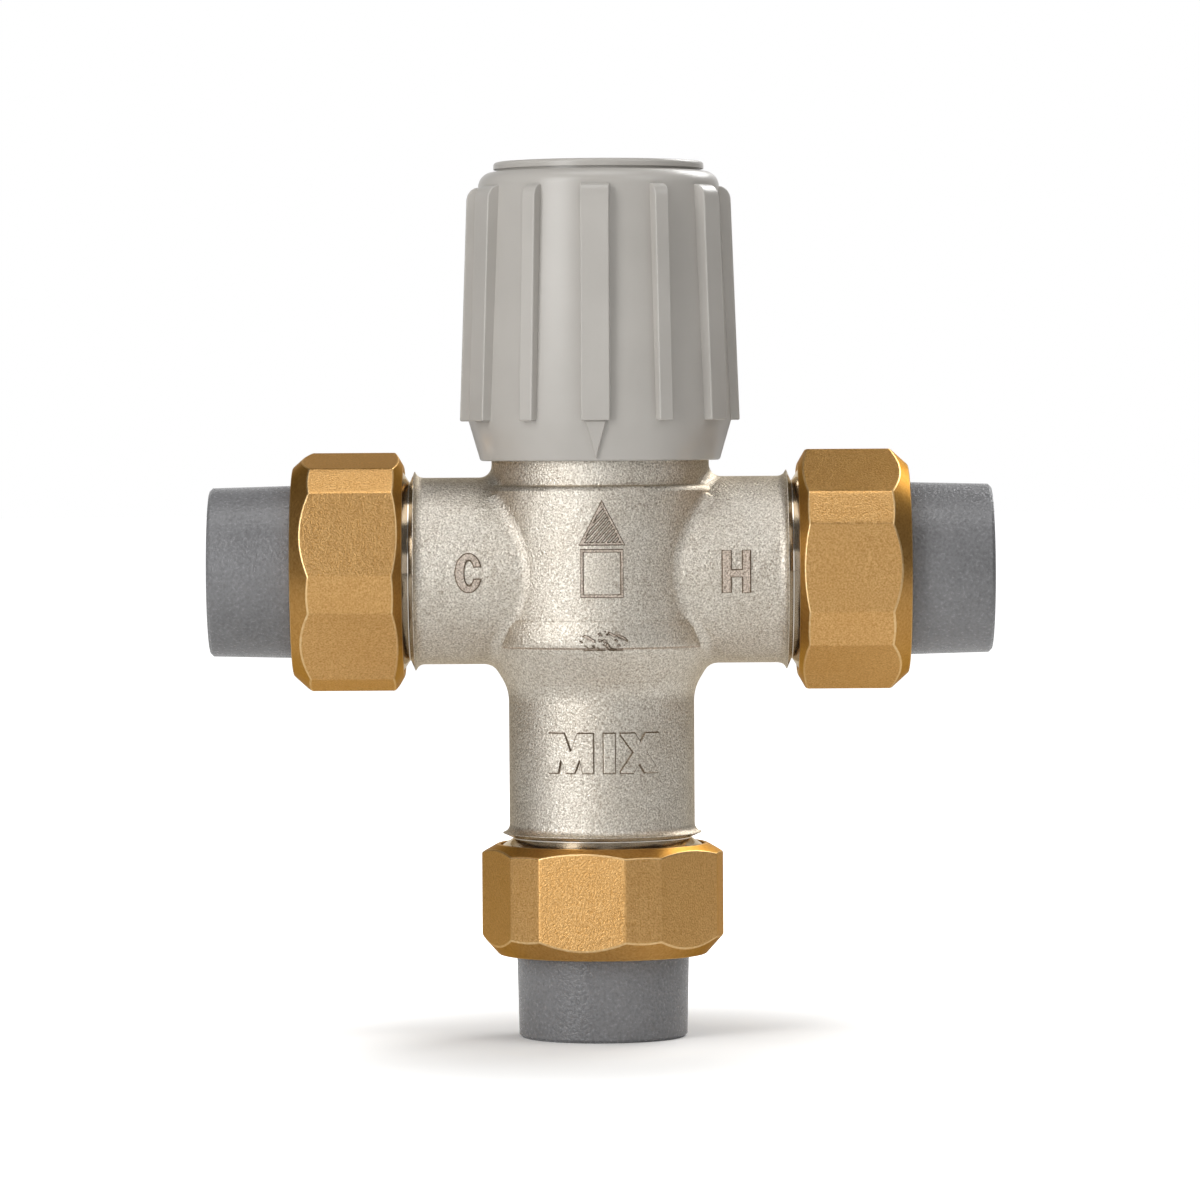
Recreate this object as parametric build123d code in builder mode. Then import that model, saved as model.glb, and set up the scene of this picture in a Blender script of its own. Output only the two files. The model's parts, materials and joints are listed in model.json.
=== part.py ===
from build123d import *
import os

os.makedirs("parts", exist_ok=True)

# Thermostatic mixing valve, in millimetres. The origin is the centre of the mixed outlet's mouth, which
# the valve stands on. Z points up the valve's axis, X along the arms to the hot inlet, and -Y to the
# front. Three like unions hold three like tails.

# Casting: reach from the crossing of the axes to each rim, and the turned sizes
arm_reach = 30.45
stem_reach = 43.0
arm_cast_r = 15.3
stem_cast_r = 15.2
rim_r = 16.3
rim_flare = 1.5
rim_lip = 0.1
barrel_r = 19.45
barrel_above = 14.1
barrel_below = 12.3
cone_below = 19.5
barrel_step = 1.65
neck_above = 20.5
blend_neck = 2.0
blend_barrel = 2.5
blend_shoulder = 1.3
blend_reach = 5.0
blend_fall = 3.0
blend_past = 0.1
blend_cone = 7.0
blend_cone_top = 4.0

# Union: everything is measured outward from the casting's rim
groove_r = 14.65
groove_in = 0.7
groove_out = 0.85
thread_start = 2.1
thread_r = 16.6
spigot_len = 11.4
gasket_thick = 2.0
gasket_wall = 5.3
collar_thick = 3.3
collar_r = 15.8
nut_gap = 1.7
nut_shoulder = 3.2
nut_flats = 37.0
nut_corners = 39.2
nut_point_r = 19.8
nut_face_out_r = 17.0
nut_bevel_out = 3.1
nut_face_in_r = 17.2
nut_bevel_in = 1.5
tail_show = 13.6
tail_root_r = 14.2
tail_mouth_r = 13.8
tail_edge = 0.5
socket_r = 11.2
socket_deep = 17.5
tail_way_r = 9.0

# Turn of each nut: where a main flat's middle lies, from the front
nut_turn = {"cold": 20.0, "hot": -1.5, "mix": 10.2}

# Clearances
thread_gap = 0.15
running_gap = 0.1
loose_gap = 0.4
end_margin = 1.0
seal_gap = 0.05

# Waterways in the casting
port_bore_r = 10.5
cartridge_deep = 19.85
port_way_r = 9.0
port_way_end = 17.0
window_half = 7.0
window_margin = 1.0
window_past = 0.5
chamber_r = 14.0
bonnet_thread_r = 15.0
bonnet_thread_len = 8.0
land_r = 11.6
land_thick = 4.0
chamber_low = 10.0
cage_bore_r = 12.0
cage_seat_deep = 4.5
stem_bore_r = 11.0
strainer_rebate_r = 12.2
strainer_rebate = 0.8

# Shuttle and thermostat
shuttle_r = 11.3
shuttle_wall = 1.4
shuttle_len = 12.0
shuttle_lift = 0.9
web_below_top = 5.0
web_thick = 2.5
web_hub_r = 3.1
web_ports = 6
web_port_r = 1.75
web_port_ring = 7.95
cup_r = 4.2
cup_len = 19.5
cup_flange_r = 6.0
cup_flange = 3.0
cup_wall = 0.8
wax_top_gap = 2.5
guide_r = 3.0
guide_foot_r = 4.6
guide_foot = 1.5
guide_len = 7.5
pin_r = 1.5
pin_len = 9.0
clip_thick = 0.8
clip_wall = 1.6
clip_mouth = 1.5

# Lower cage
cage_ring_top = 3.6
cage_wall = 2.0
cage_legs = 3
cage_turned = 30
cage_leg_wide = 4.0
cage_leg_len = 12.0
cage_foot = 2.0
spring_seat_r = 4.6

# Springs: wire radius and number of turns
return_wire_r = 0.6
return_turns = 6
return_mean_r = 5.3
overload_wire_r = 0.5
overload_turns = 3
overload_mean_r = 5.8
check_wire_r = 0.35
check_turns = 4
check_mean_r = 2.9
spring_gap = 0.05

# Bonnet, spindle and carrier
bonnet_skirt_r = 13.7
bonnet_seat_r = 10.0
bonnet_seat_len = 2.0
bonnet_flange_r = 17.3
bonnet_flange = 2.5
bonnet_hex = 29.0
bonnet_hex_len = 7.0
bonnet_roof = 1.0
bonnet_tube_r = 9.0
bonnet_tube_len = 12.0
carrier_hex = 17.0
carrier_gap = 0.2
carrier_len = 15.5
carrier_roof = 6.5
carrier_bore_r = 6.8
carrier_travel_gap = 1.5
spindle_r = 5.0
spindle_collar_r = 7.6
spindle_collar = 2.0
spindle_thread_len = 9.0
spindle_thread_r = 4.9
spline_r = 4.7
spline_root_r = 4.1
spline_teeth = 12
spindle_top_gap = 0.2
seal_depth = 1.1
seal_room = 0.15
plunger_r = 6.4
plunger_thick = 1.3
plunger_nose_r = 2.0
plunger_nose = 3.0
plunger_ring_in = 1.0
plunger_ring = 1.0
plunger_ring_bore_r = 5.0
groove_extra = 0.6

# Stop ring
stop_r = 18.2
stop_thick = 2.8
stop_lug = 3.7
stop_lug_wall = 1.2
stop_angle = 28.0

# Knob
skirt_above_barrel = 3.9
skirt_low_r = 19.6
skirt_len = 6.5
knob_r = 21.5
knob_top_r = 19.85
knob_cone_len = 37.8
knob_shoulder = 2.5
knob_top_above = 2.9
knob_wall = 2.0
skirt_wall = 1.2
knob_web = 2.5
knob_web_below = 8.2
cap_bore_r = 16.1
hub_r = 8.5
hub_len = 12.5
hub_ribs = 6
hub_rib_thick = 1.6
hub_rib_len = 7.0
screw_r = 2.0
rib_count = 12
rib_wide = 4.7
rib_narrow = 2.5
rib_low_r = 22.9
rib_high_r = 21.65
rib_straight = 35.0
rib_nose = 4.2
rib_nose_r = 18.4
knob_turned = -1.8
pointer_wide = 3.4
pointer_len = 6.2
pointer_proud = 0.8
cap_r = 17.2
cap_thick = 1.2
cap_lift = 0.4
cap_edge = 0.6
cap_plug_len = 4.0
cap_plug_wall = 1.8
washer_r = 4.6
washer_thick = 0.8
screw_head_r = 3.9
screw_head = 2.4
screw_len = 9.0

# Check valves and strainers in the inlets
check_gap = 0.1
check_len = 13.0
check_seat = 2.0
check_seat_r = 6.0
check_leg_wide = 4.0
check_legs = 3
check_wall = 1.8
check_hub = 2.0
check_hub_r = 3.6
poppet_r = 7.4
poppet_thick = 1.4
poppet_stem_r = 1.8
poppet_stem_past = 1.0
poppet_nose = 1.0
poppet_seal = 0.8
poppet_seal_r = 7.0
strainer_flange_r = 12.1
strainer_r = 8.8
strainer_wall = 0.8
strainer_slots = 12
strainer_slot_wide = 1.8

# Sizes that follow from those above
neck_r = barrel_r - barrel_step
cartridge_step = arm_reach + spigot_len - cartridge_deep
collar_in = spigot_len + gasket_thick
collar_out = collar_in + collar_thick
nut_out = collar_out + nut_shoulder
nut_len = nut_out - nut_gap
tail_end = nut_out + tail_show
axis_z = stem_reach + tail_end
stem_low = axis_z - stem_reach - spigot_len
barrel_top = axis_z + barrel_above
barrel_low = axis_z - barrel_below
neck_top = axis_z + neck_above
chamber_top = neck_top - bonnet_thread_len
land_top = axis_z + land_thick / 2
land_low = axis_z - land_thick / 2
chamber_floor = axis_z - chamber_low
cage_seat_z = chamber_floor - cage_seat_deep
cage_top = chamber_floor + cage_ring_top
shuttle_low = cage_top + shuttle_lift
shuttle_top = shuttle_low + shuttle_len
bonnet_low = shuttle_top + shuttle_lift
web_top = shuttle_top - web_below_top
web_low = web_top - web_thick
cup_low = web_low - cup_len
cage_foot_top = cage_seat_z - cage_leg_len + cage_foot
bonnet_hex_low = neck_top + bonnet_flange
bonnet_hex_top = bonnet_hex_low + bonnet_hex_len
bonnet_top = bonnet_hex_top + bonnet_tube_len
collar_top = bonnet_hex_top - bonnet_roof
collar_low = collar_top - spindle_collar
carrier_top = collar_low - carrier_travel_gap
carrier_low = carrier_top - carrier_len
carrier_roof_low = carrier_top - carrier_roof
spindle_low = collar_low - spindle_thread_len
plunger_ring_low = carrier_low + plunger_ring_in
plunger_low = plunger_ring_low + plunger_ring
plunger_top = plunger_low + plunger_thick
pin_top = plunger_low - plunger_nose
pin_low = pin_top - pin_len
skirt_low = barrel_top + skirt_above_barrel
skirt_top = skirt_low + skirt_len
knob_cone_top = skirt_top + knob_cone_len
knob_top = knob_cone_top + knob_top_above
knob_web_top = knob_top - knob_web_below
knob_web_low = knob_web_top - knob_web
hub_low = knob_web_top - hub_len
spindle_top = knob_web_low - spindle_top_gap

# The three ports: plane on the rim, pointing outward, with its own X towards the front
ports = {
    "cold": Plane(origin=(-arm_reach, 0, axis_z), x_dir=(0, -1, 0), z_dir=(-1, 0, 0)),
    "hot": Plane(origin=(arm_reach, 0, axis_z), x_dir=(0, -1, 0), z_dir=(1, 0, 0)),
    "mix": Plane(origin=(0, 0, axis_z - stem_reach), x_dir=(0, -1, 0), z_dir=(0, 0, -1)),
}
inlets = ("cold", "hot")


def along(port):
    """The plane that holds the port's axis: its X is the radius, its Y the distance out from the rim."""
    return Plane(origin=port.origin, x_dir=port.x_dir, z_dir=port.x_dir.cross(port.z_dir))


def axis_of(port):
    """The port's axis, pointing outward."""
    return Axis(port.origin, port.z_dir)


def section(*points, plane=Plane.XZ):
    """A closed half section through (radius, height) points, ready to be spun about its axis."""
    with BuildSketch(plane) as face:
        with BuildLine():
            Polyline(*points, close=True)
        make_face()
    return face.sketch


def ring(inner, outer, low, high, plane=Plane.XZ):
    """The half section of a plain ring."""
    return section((inner, low), (outer, low), (outer, high), (inner, high), plane=plane)


def coil(base, wire_r, mean_r, length, turns):
    """A round wire spring that starts on the base plane and fills the length."""
    height = length - 2 * wire_r - 2 * spring_gap
    start = base.origin + base.z_dir * (wire_r + spring_gap)
    with BuildPart() as spring:
        with BuildLine():
            helix = Helix(height / turns, height, mean_r, center=start, direction=base.z_dir)
        with BuildSketch(Plane(origin=helix @ 0, z_dir=helix % 0)):
            Circle(wire_r)
        sweep()
    return spring.part


def save(piece, name):
    """Label a finished piece and write it out."""
    piece.label = name
    export_step(piece, f"parts/{name}.step")


def clear_of_rims(edge):
    """True for an edge that isn't on an arm's end."""
    return abs(edge.center().X) < arm_reach - end_margin


# Valve body: one casting with its machined spigots and waterways
with BuildPart() as barrel_blank:
    with BuildSketch(Plane.XZ):
        with BuildLine():
            side = FilletPolyline(
                (0, neck_top),
                (barrel_r, neck_top),
                (barrel_r, barrel_low),
                (stem_cast_r, axis_z - cone_below),
                (stem_cast_r, axis_z - stem_reach),
                (0, axis_z - stem_reach),
                radius=[0, blend_cone_top, blend_cone, 0],
            )
            Line(side @ 1, side @ 0)
        make_face()
    revolve(axis=Axis.Z)
    with BuildSketch(Plane.YZ):
        with Locations((0, axis_z)):
            Circle(arm_cast_r)
    extrude(amount=arm_reach, both=True)
    fillet(barrel_blank.edges(Select.NEW).filter_by(clear_of_rims), blend_barrel)
    with BuildSketch(Plane.XZ):
        with BuildLine():
            # The shoulder's arc ends a little past the wall, so that it crosses it
            shoulder = RadiusArc(
                (barrel_r - blend_shoulder, barrel_top),
                (barrel_r + blend_past, barrel_top - blend_shoulder - blend_past),
                blend_shoulder + 2 * blend_past,
            )
            Polyline(
                shoulder @ 1,
                (barrel_r + blend_reach, barrel_top - blend_shoulder - blend_fall),
                (barrel_r + blend_reach, 0),
                (0, 0),
                (0, barrel_top),
                shoulder @ 0,
            )
        make_face()
    revolve(axis=Axis.Z, mode=Mode.INTERSECT)

with BuildPart() as valve_body:
    with BuildSketch(Plane.XY.offset(barrel_low)):
        Circle(neck_r)
    extrude(amount=neck_top - barrel_low)
    with BuildSketch(Plane.YZ):
        with Locations((0, axis_z)):
            Circle(arm_cast_r)
    extrude(amount=arm_reach, both=True)
    crossing = valve_body.edges(Select.NEW).filter_by(clear_of_rims).filter_by(GeomType.BSPLINE)
    fillet(crossing, blend_neck)
    add(barrel_blank.part)
    for name, port in ports.items():
        cast_r = stem_cast_r if name == "mix" else arm_cast_r
        with BuildSketch(along(port)):
            with BuildLine():
                flare = TangentArc((cast_r, -rim_flare), (rim_r, -rim_lip), tangent=(0, 1))
                Polyline(
                    flare @ 1,
                    (rim_r, 0),
                    (groove_r, groove_in),
                    (groove_r, groove_out),
                    (thread_r, thread_start),
                    (thread_r, spigot_len),
                    (0, spigot_len),
                    (0, -rim_flare),
                    flare @ 0,
                )
            make_face()
        revolve(axis=axis_of(port))
    revolve(ring(0, bonnet_thread_r, chamber_top, neck_top), axis=Axis.Z, mode=Mode.SUBTRACT)
    revolve(ring(0, chamber_r, land_top, chamber_top), axis=Axis.Z, mode=Mode.SUBTRACT)
    revolve(ring(0, land_r, land_low, land_top), axis=Axis.Z, mode=Mode.SUBTRACT)
    revolve(ring(0, chamber_r, chamber_floor, land_low), axis=Axis.Z, mode=Mode.SUBTRACT)
    revolve(ring(0, cage_bore_r, cage_seat_z, chamber_floor), axis=Axis.Z, mode=Mode.SUBTRACT)
    revolve(ring(0, stem_bore_r, stem_low, cage_seat_z), axis=Axis.Z, mode=Mode.SUBTRACT)
    for name in inlets:
        port = ports[name]
        inlet = section(
            (0, port_way_end - arm_reach),
            (port_way_r, port_way_end - arm_reach),
            (port_way_r, cartridge_step - arm_reach),
            (port_bore_r, cartridge_step - arm_reach),
            (port_bore_r, spigot_len - strainer_rebate),
            (strainer_rebate_r, spigot_len - strainer_rebate),
            (strainer_rebate_r, spigot_len),
            (0, spigot_len),
            plane=along(port),
        )
        revolve(inlet, axis=axis_of(port), mode=Mode.SUBTRACT)
    window_top = axis_z + port_way_r - window_margin
    window_low = axis_z - port_way_r + window_margin
    with BuildSketch(Plane.XZ):
        with Locations((-port_way_end - window_past, land_top + window_margin)):
            Rectangle(
                port_way_end - land_r,
                window_top - land_top - window_margin,
                align=(Align.MIN, Align.MIN),
            )
        with Locations((port_way_end + window_past, land_low - window_margin)):
            Rectangle(
                port_way_end - land_r,
                land_low - window_margin - window_low,
                align=(Align.MAX, Align.MAX),
            )
    extrude(amount=window_half, both=True, mode=Mode.SUBTRACT)
save(valve_body.part, "valve_body")

# Unions: nut, tail and gasket, the same at every port but for the nut's turn
def make_nut(port, turn):
    """A union nut: a hexagon with its points cut back, beveled at both faces."""
    with BuildPart() as nut:
        with BuildSketch(port.offset(nut_gap)):
            RegularPolygon(nut_flats / 2, 6, major_radius=False, rotation=turn + 30)
            RegularPolygon(nut_corners / 2, 6, major_radius=False, rotation=turn, mode=Mode.INTERSECT)
        extrude(amount=nut_len)
        envelope = section(
            (0, nut_gap),
            (nut_face_in_r, nut_gap),
            (nut_point_r, nut_gap + nut_bevel_in),
            (nut_point_r, nut_out - nut_bevel_out),
            (nut_face_out_r, nut_out),
            (0, nut_out),
            plane=along(port),
        )
        revolve(envelope, axis=axis_of(port), mode=Mode.INTERSECT)
        bore = section(
            (0, nut_gap),
            (thread_r + thread_gap, nut_gap),
            (thread_r + thread_gap, collar_out),
            (tail_root_r + loose_gap, collar_out),
            (tail_root_r + loose_gap, nut_out),
            (0, nut_out),
            plane=along(port),
        )
        revolve(bore, axis=axis_of(port), mode=Mode.SUBTRACT)
    return nut.part


def make_tail(port):
    """A socket tail: a collar behind the nut's shoulder, a drafted tube and the pipe's socket."""
    with BuildPart() as tail:
        half = section(
            (tail_way_r, collar_in),
            (collar_r, collar_in),
            (collar_r, collar_out),
            (tail_root_r, collar_out),
            (tail_mouth_r, tail_end - tail_edge),
            (tail_mouth_r - tail_edge, tail_end),
            (socket_r, tail_end),
            (socket_r, tail_end - socket_deep),
            (tail_way_r, tail_end - socket_deep),
            plane=along(port),
        )
        revolve(half, axis=axis_of(port))
    return tail.part


def make_gasket(port):
    """The flat ring between the casting's spigot and the tail's collar."""
    with BuildPart() as gasket:
        revolve(
            ring(port_bore_r, port_bore_r + gasket_wall, spigot_len, collar_in, along(port)),
            axis=axis_of(port),
        )
    return gasket.part


for name, port in ports.items():
    save(make_nut(port, nut_turn[name]), f"{name}_nut")
    save(make_tail(port), f"{name}_tail")
    save(make_gasket(port), f"{name}_gasket")


# Check valves and strainers, the same in both inlets
check_in = cartridge_step - arm_reach
check_out = check_in + check_len
check_face = check_out - check_seat
check_r = port_bore_r - check_gap
poppet_back = check_face - poppet_seal - poppet_thick


def make_check_cage(port):
    """The check valve's cage: a seat ring outward, three legs and a spoked guide inward."""
    with BuildPart() as cage:
        revolve(ring(check_seat_r, check_r, check_face, check_out, along(port)), axis=axis_of(port))
        rim = ring(check_r - check_wall, check_r, check_in, check_in + check_hub, along(port))
        revolve(rim, axis=axis_of(port))
        with BuildSketch(port.offset(check_in)):
            with PolarLocations(check_r - check_wall / 2, check_legs):
                Rectangle(check_wall, check_leg_wide)
            Circle(check_r, mode=Mode.INTERSECT)
        extrude(amount=check_face - check_in)
        with BuildSketch(port.offset(check_in)):
            Circle(check_hub_r)
            with PolarLocations(0, check_legs):
                Rectangle(check_r - check_wall / 2, check_hub, align=(Align.MIN, Align.CENTER))
            Circle(poppet_stem_r + running_gap, mode=Mode.SUBTRACT)
        extrude(amount=check_hub)
    return cage.part


def make_poppet(port):
    """The poppet: a disc with a nose that holds its rubber, and a stem through the guide."""
    with BuildPart() as poppet:
        half = section(
            (0, check_in - poppet_stem_past),
            (poppet_stem_r, check_in - poppet_stem_past),
            (poppet_stem_r, poppet_back),
            (poppet_r, poppet_back),
            (poppet_r, check_face - poppet_seal),
            (check_hub_r, check_face - poppet_seal),
            (check_hub_r - poppet_nose, check_face + poppet_nose),
            (0, check_face + poppet_nose),
            plane=along(port),
        )
        revolve(half, axis=axis_of(port))
    return poppet.part


def make_strainer(port):
    """The strainer basket: a flange in the spigot's rebate, a slotted wall and a pierced floor."""
    with BuildPart() as strainer:
        half = section(
            (0, check_out),
            (strainer_r, check_out),
            (strainer_r, spigot_len - strainer_rebate),
            (strainer_flange_r, spigot_len - strainer_rebate),
            (strainer_flange_r, spigot_len),
            (strainer_r - strainer_wall, spigot_len),
            (strainer_r - strainer_wall, check_out + strainer_wall),
            (0, check_out + strainer_wall),
            plane=along(port),
        )
        revolve(half, axis=axis_of(port))
        with BuildSketch(port.offset(check_out + 2 * strainer_wall)):
            with PolarLocations(strainer_r - strainer_wall / 2, strainer_slots):
                Rectangle(3 * strainer_wall, strainer_slot_wide)
        extrude(amount=spigot_len - strainer_rebate - check_out - 3 * strainer_wall, mode=Mode.SUBTRACT)
        with BuildSketch(port.offset(check_out)):
            Circle(strainer_slot_wide / 2)
            with PolarLocations(check_seat_r - 1.5 * strainer_slot_wide, strainer_slots // 2):
                Circle(strainer_slot_wide / 2)
        extrude(amount=strainer_wall, mode=Mode.SUBTRACT)
    return strainer.part


for name in inlets:
    port = ports[name]
    save(make_check_cage(port), f"{name}_check_cage")
    save(make_poppet(port), f"{name}_check_poppet")
    with BuildPart() as poppet_ring:
        revolve(
            ring(check_hub_r + seal_gap, poppet_seal_r, check_face - poppet_seal, check_face, along(port)),
            axis=axis_of(port),
        )
    save(poppet_ring.part, f"{name}_check_seal")
    spring_room = poppet_back - check_in - check_hub
    guide_face = port.offset(check_in + check_hub)
    save(coil(guide_face, check_wire_r, check_mean_r, spring_room, check_turns), f"{name}_check_spring")
    save(make_strainer(port), f"{name}_strainer")


# Seals that sit in grooves
def groove(floor_r, wall_r, middle):
    """The half section of a groove for a round seal that fills it up to the wall."""
    half = (wall_r - floor_r) / 2 + seal_room
    return ring(floor_r, wall_r, middle - half, middle + half)


def round_seal(floor_r, wall_r, middle):
    """A round rubber ring between a groove's floor and the wall outside it."""
    with BuildPart() as seal:
        with BuildSketch(Plane.XZ):
            with Locations(((floor_r + wall_r) / 2, middle)):
                Circle((wall_r - floor_r) / 2 - seal_gap)
        revolve(axis=Axis.Z)
    return seal.part


# Lower cage: the hot water's seat, three legs and the foot that the return spring stands on
cage_r = cage_bore_r - running_gap
cage_groove_r = cage_r - seal_depth
cage_leg_r = stem_bore_r - loose_gap
cage_seal_z = (cage_seat_z + chamber_floor) / 2
with BuildPart() as lower_cage:
    revolve(ring(cage_r - cage_wall, cage_r, cage_seat_z, cage_top), axis=Axis.Z)
    revolve(groove(cage_groove_r, cage_bore_r, cage_seal_z), axis=Axis.Z, mode=Mode.SUBTRACT)
    with BuildSketch(Plane.XY.offset(cage_foot_top)):
        with PolarLocations(cage_leg_r - cage_wall / 2, cage_legs, start_angle=cage_turned):
            Rectangle(cage_wall, cage_leg_wide)
        Circle(cage_leg_r, mode=Mode.INTERSECT)
    extrude(amount=cage_top - cage_foot_top - cage_ring_top)
    revolve(ring(spring_seat_r, cage_leg_r, cage_foot_top - cage_foot, cage_foot_top), axis=Axis.Z)
save(lower_cage.part, "lower_cage")
save(round_seal(cage_groove_r, cage_bore_r, cage_seal_z), "lower_cage_seal")

# Shuttle: a sleeve between the cold seat above and the hot seat below, with a pierced web
shuttle_seal_z = (web_top + web_low) / 2
shuttle_groove_r = shuttle_r - seal_depth
with BuildPart() as shuttle:
    revolve(ring(shuttle_r - shuttle_wall, shuttle_r, shuttle_low, shuttle_top), axis=Axis.Z)
    revolve(ring(web_hub_r, shuttle_r, web_low, web_top), axis=Axis.Z)
    revolve(groove(shuttle_groove_r, land_r, shuttle_seal_z), axis=Axis.Z, mode=Mode.SUBTRACT)
    with BuildSketch(Plane.XY.offset(web_low)):
        with PolarLocations(web_port_ring, web_ports):
            Circle(web_port_r)
    extrude(amount=web_thick, mode=Mode.SUBTRACT)
save(shuttle.part, "shuttle")
save(round_seal(shuttle_groove_r, land_r, shuttle_seal_z), "shuttle_seal")

# Thermostat: a wax cup under the web, its guide through it, a clip above and the pin on top
cup_bore_r = cup_r - cup_wall
wax_top = web_low - wax_top_gap
foot_low = web_low - guide_foot
with BuildPart() as thermostat_cup:
    half = section(
        (0, cup_low),
        (cup_r, cup_low),
        (cup_r, web_low - cup_flange),
        (cup_flange_r, web_low - cup_flange),
        (cup_flange_r, web_low),
        (guide_foot_r + seal_gap, web_low),
        (guide_foot_r + seal_gap, foot_low),
        (cup_bore_r, foot_low),
        (cup_bore_r, cup_low + cup_wall),
        (0, cup_low + cup_wall),
    )
    revolve(half, axis=Axis.Z)
save(thermostat_cup.part, "thermostat_cup")

with BuildPart() as wax_charge:
    revolve(ring(0, cup_bore_r - seal_gap, cup_low + cup_wall, wax_top), axis=Axis.Z)
save(wax_charge.part, "wax_charge")

with BuildPart() as thermostat_diaphragm:
    revolve(ring(0, cup_bore_r - seal_gap, wax_top, foot_low), axis=Axis.Z)
save(thermostat_diaphragm.part, "thermostat_diaphragm")

clip_floor_r = guide_r - clip_thick / 2
with BuildPart() as thermostat_guide:
    half = section(
        (pin_r + running_gap, foot_low),
        (guide_foot_r, foot_low),
        (guide_foot_r, web_low),
        (guide_r, web_low),
        (guide_r, web_low + guide_len),
        (pin_r + running_gap, web_low + guide_len),
    )
    revolve(half, axis=Axis.Z)
    revolve(ring(clip_floor_r, guide_r, web_top, web_top + clip_thick), axis=Axis.Z, mode=Mode.SUBTRACT)
save(thermostat_guide.part, "thermostat_guide")


def open_clip(floor_r, low):
    """A spring clip: a flat ring in a groove, open on one side."""
    with BuildPart() as clip:
        with BuildSketch(Plane.XY.offset(low)):
            Circle(floor_r + clip_wall + seal_gap)
            Circle(floor_r + seal_gap, mode=Mode.SUBTRACT)
            mouth = (Align.MIN, Align.CENTER)
            Rectangle(2 * floor_r, clip_mouth * floor_r, align=mouth, mode=Mode.SUBTRACT)
        extrude(amount=clip_thick)
    return clip.part


save(open_clip(clip_floor_r, web_top), "thermostat_clip")

with BuildPart() as thermostat_pin:
    revolve(ring(0, pin_r, pin_low, pin_top), axis=Axis.Z)
    chamfer(thermostat_pin.edges().sort_by(Axis.Z)[0], pin_r / 4)
save(thermostat_pin.part, "thermostat_pin")

spring_length = web_low - cup_flange - cage_foot_top
foot_face = Plane.XY.offset(cage_foot_top)
save(coil(foot_face, return_wire_r, return_mean_r, spring_length, return_turns), "return_spring")

# Bonnet: screwed into the neck, with the cold seat below and the spindle's bearing above
bonnet_seal_z = (chamber_top + bonnet_low) / 2
bonnet_groove_r = bonnet_skirt_r - seal_depth
with BuildPart() as bonnet:
    half = section(
        (0, bonnet_low),
        (bonnet_skirt_r, bonnet_low),
        (bonnet_skirt_r, chamber_top),
        (bonnet_thread_r - thread_gap, chamber_top),
        (bonnet_thread_r - thread_gap, neck_top),
        (bonnet_flange_r, neck_top),
        (bonnet_flange_r, bonnet_hex_low),
        (bonnet_tube_r, bonnet_hex_low),
        (bonnet_tube_r, bonnet_top),
        (0, bonnet_top),
    )
    revolve(half, axis=Axis.Z)
    with BuildSketch(Plane.XY.offset(bonnet_hex_low)):
        RegularPolygon(bonnet_hex / 2, 6, major_radius=False)
    extrude(amount=bonnet_hex_len)
    seat = ring(0, bonnet_seat_r, bonnet_low, bonnet_low + bonnet_seat_len)
    revolve(seat, axis=Axis.Z, mode=Mode.SUBTRACT)
    with BuildSketch(Plane.XY.offset(bonnet_low)):
        RegularPolygon(carrier_hex / 2, 6, major_radius=False)
    extrude(amount=collar_top - bonnet_low, mode=Mode.SUBTRACT)
    revolve(ring(0, spindle_r + running_gap, collar_top, bonnet_top), axis=Axis.Z, mode=Mode.SUBTRACT)
    revolve(groove(bonnet_groove_r, chamber_r, bonnet_seal_z), axis=Axis.Z, mode=Mode.SUBTRACT)
save(bonnet.part, "bonnet")
save(round_seal(bonnet_groove_r, chamber_r, bonnet_seal_z), "bonnet_seal")

# Stop ring on the bonnet's hexagon, with the lug that the knob's own lug runs against
with BuildPart() as stop_ring:
    with BuildSketch(Plane.XY.offset(bonnet_hex_low)):
        Circle(stop_r)
        RegularPolygon(bonnet_hex / 2 + running_gap, 6, major_radius=False, mode=Mode.SUBTRACT)
    extrude(amount=stop_thick)
    lug_start = Plane.XZ.rotated((0, 0, 90 + knob_turned - stop_angle / 2))
    lug_top = bonnet_hex_low + stop_thick + stop_lug
    lug = ring(stop_r - stop_lug_wall, stop_r, bonnet_hex_low, lug_top, lug_start)
    revolve(lug, axis=Axis.Z, revolution_arc=stop_angle)
save(stop_ring.part, "stop_ring")


# Spindle: thread below, thrust collar, two seals, and a spline at the top for the knob
def spline(tip_r, root_r):
    """The outline of a fine spline, drawn as a star."""
    with BuildSketch() as outline:
        with BuildLine():
            star = []
            for index in range(spline_teeth):
                star.append(Vector(root_r, 0).rotate(Axis.Z, 360 / spline_teeth * index))
                star.append(Vector(tip_r, 0).rotate(Axis.Z, 360 / spline_teeth * (index + 0.5)))
            Polyline(*star, close=True)
        make_face()
    return outline.sketch


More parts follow.
